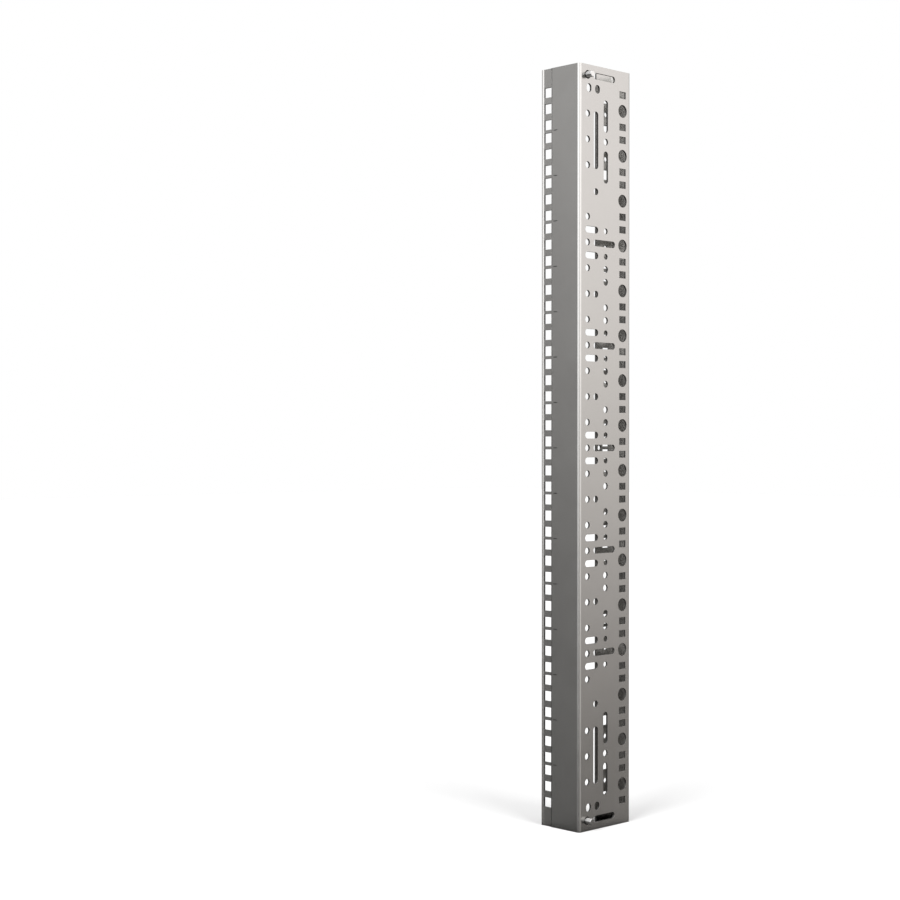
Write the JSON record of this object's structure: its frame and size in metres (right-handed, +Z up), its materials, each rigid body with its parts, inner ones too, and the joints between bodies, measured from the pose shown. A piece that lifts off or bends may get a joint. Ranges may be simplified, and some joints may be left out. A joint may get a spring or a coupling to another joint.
{
  "type": "rack mounting rail",
  "caption": "Upright mounting rail for a network rack: a bent steel channel with square and round holes at rack unit pitch in its front strip, web and rear lip.",
  "frame": {"origin": "middle of the overall box, on the rail's lower end", "axes": "+Z up along the rail, +X along the web from the front corner to the rear, +Y from the web's outer face into the channel"},
  "size_m": [0.076, 0.057, 0.745],
  "materials": {
    "plated_steel": "plated sheet steel, satin",
    "bright_steel": "bright zinc-plated steel"
  },
  "bodies": {
    "root": {"rail": "plated_steel", "lower_stud": "bright_steel", "upper_stud": "bright_steel"}
  },
  "joints": []
}
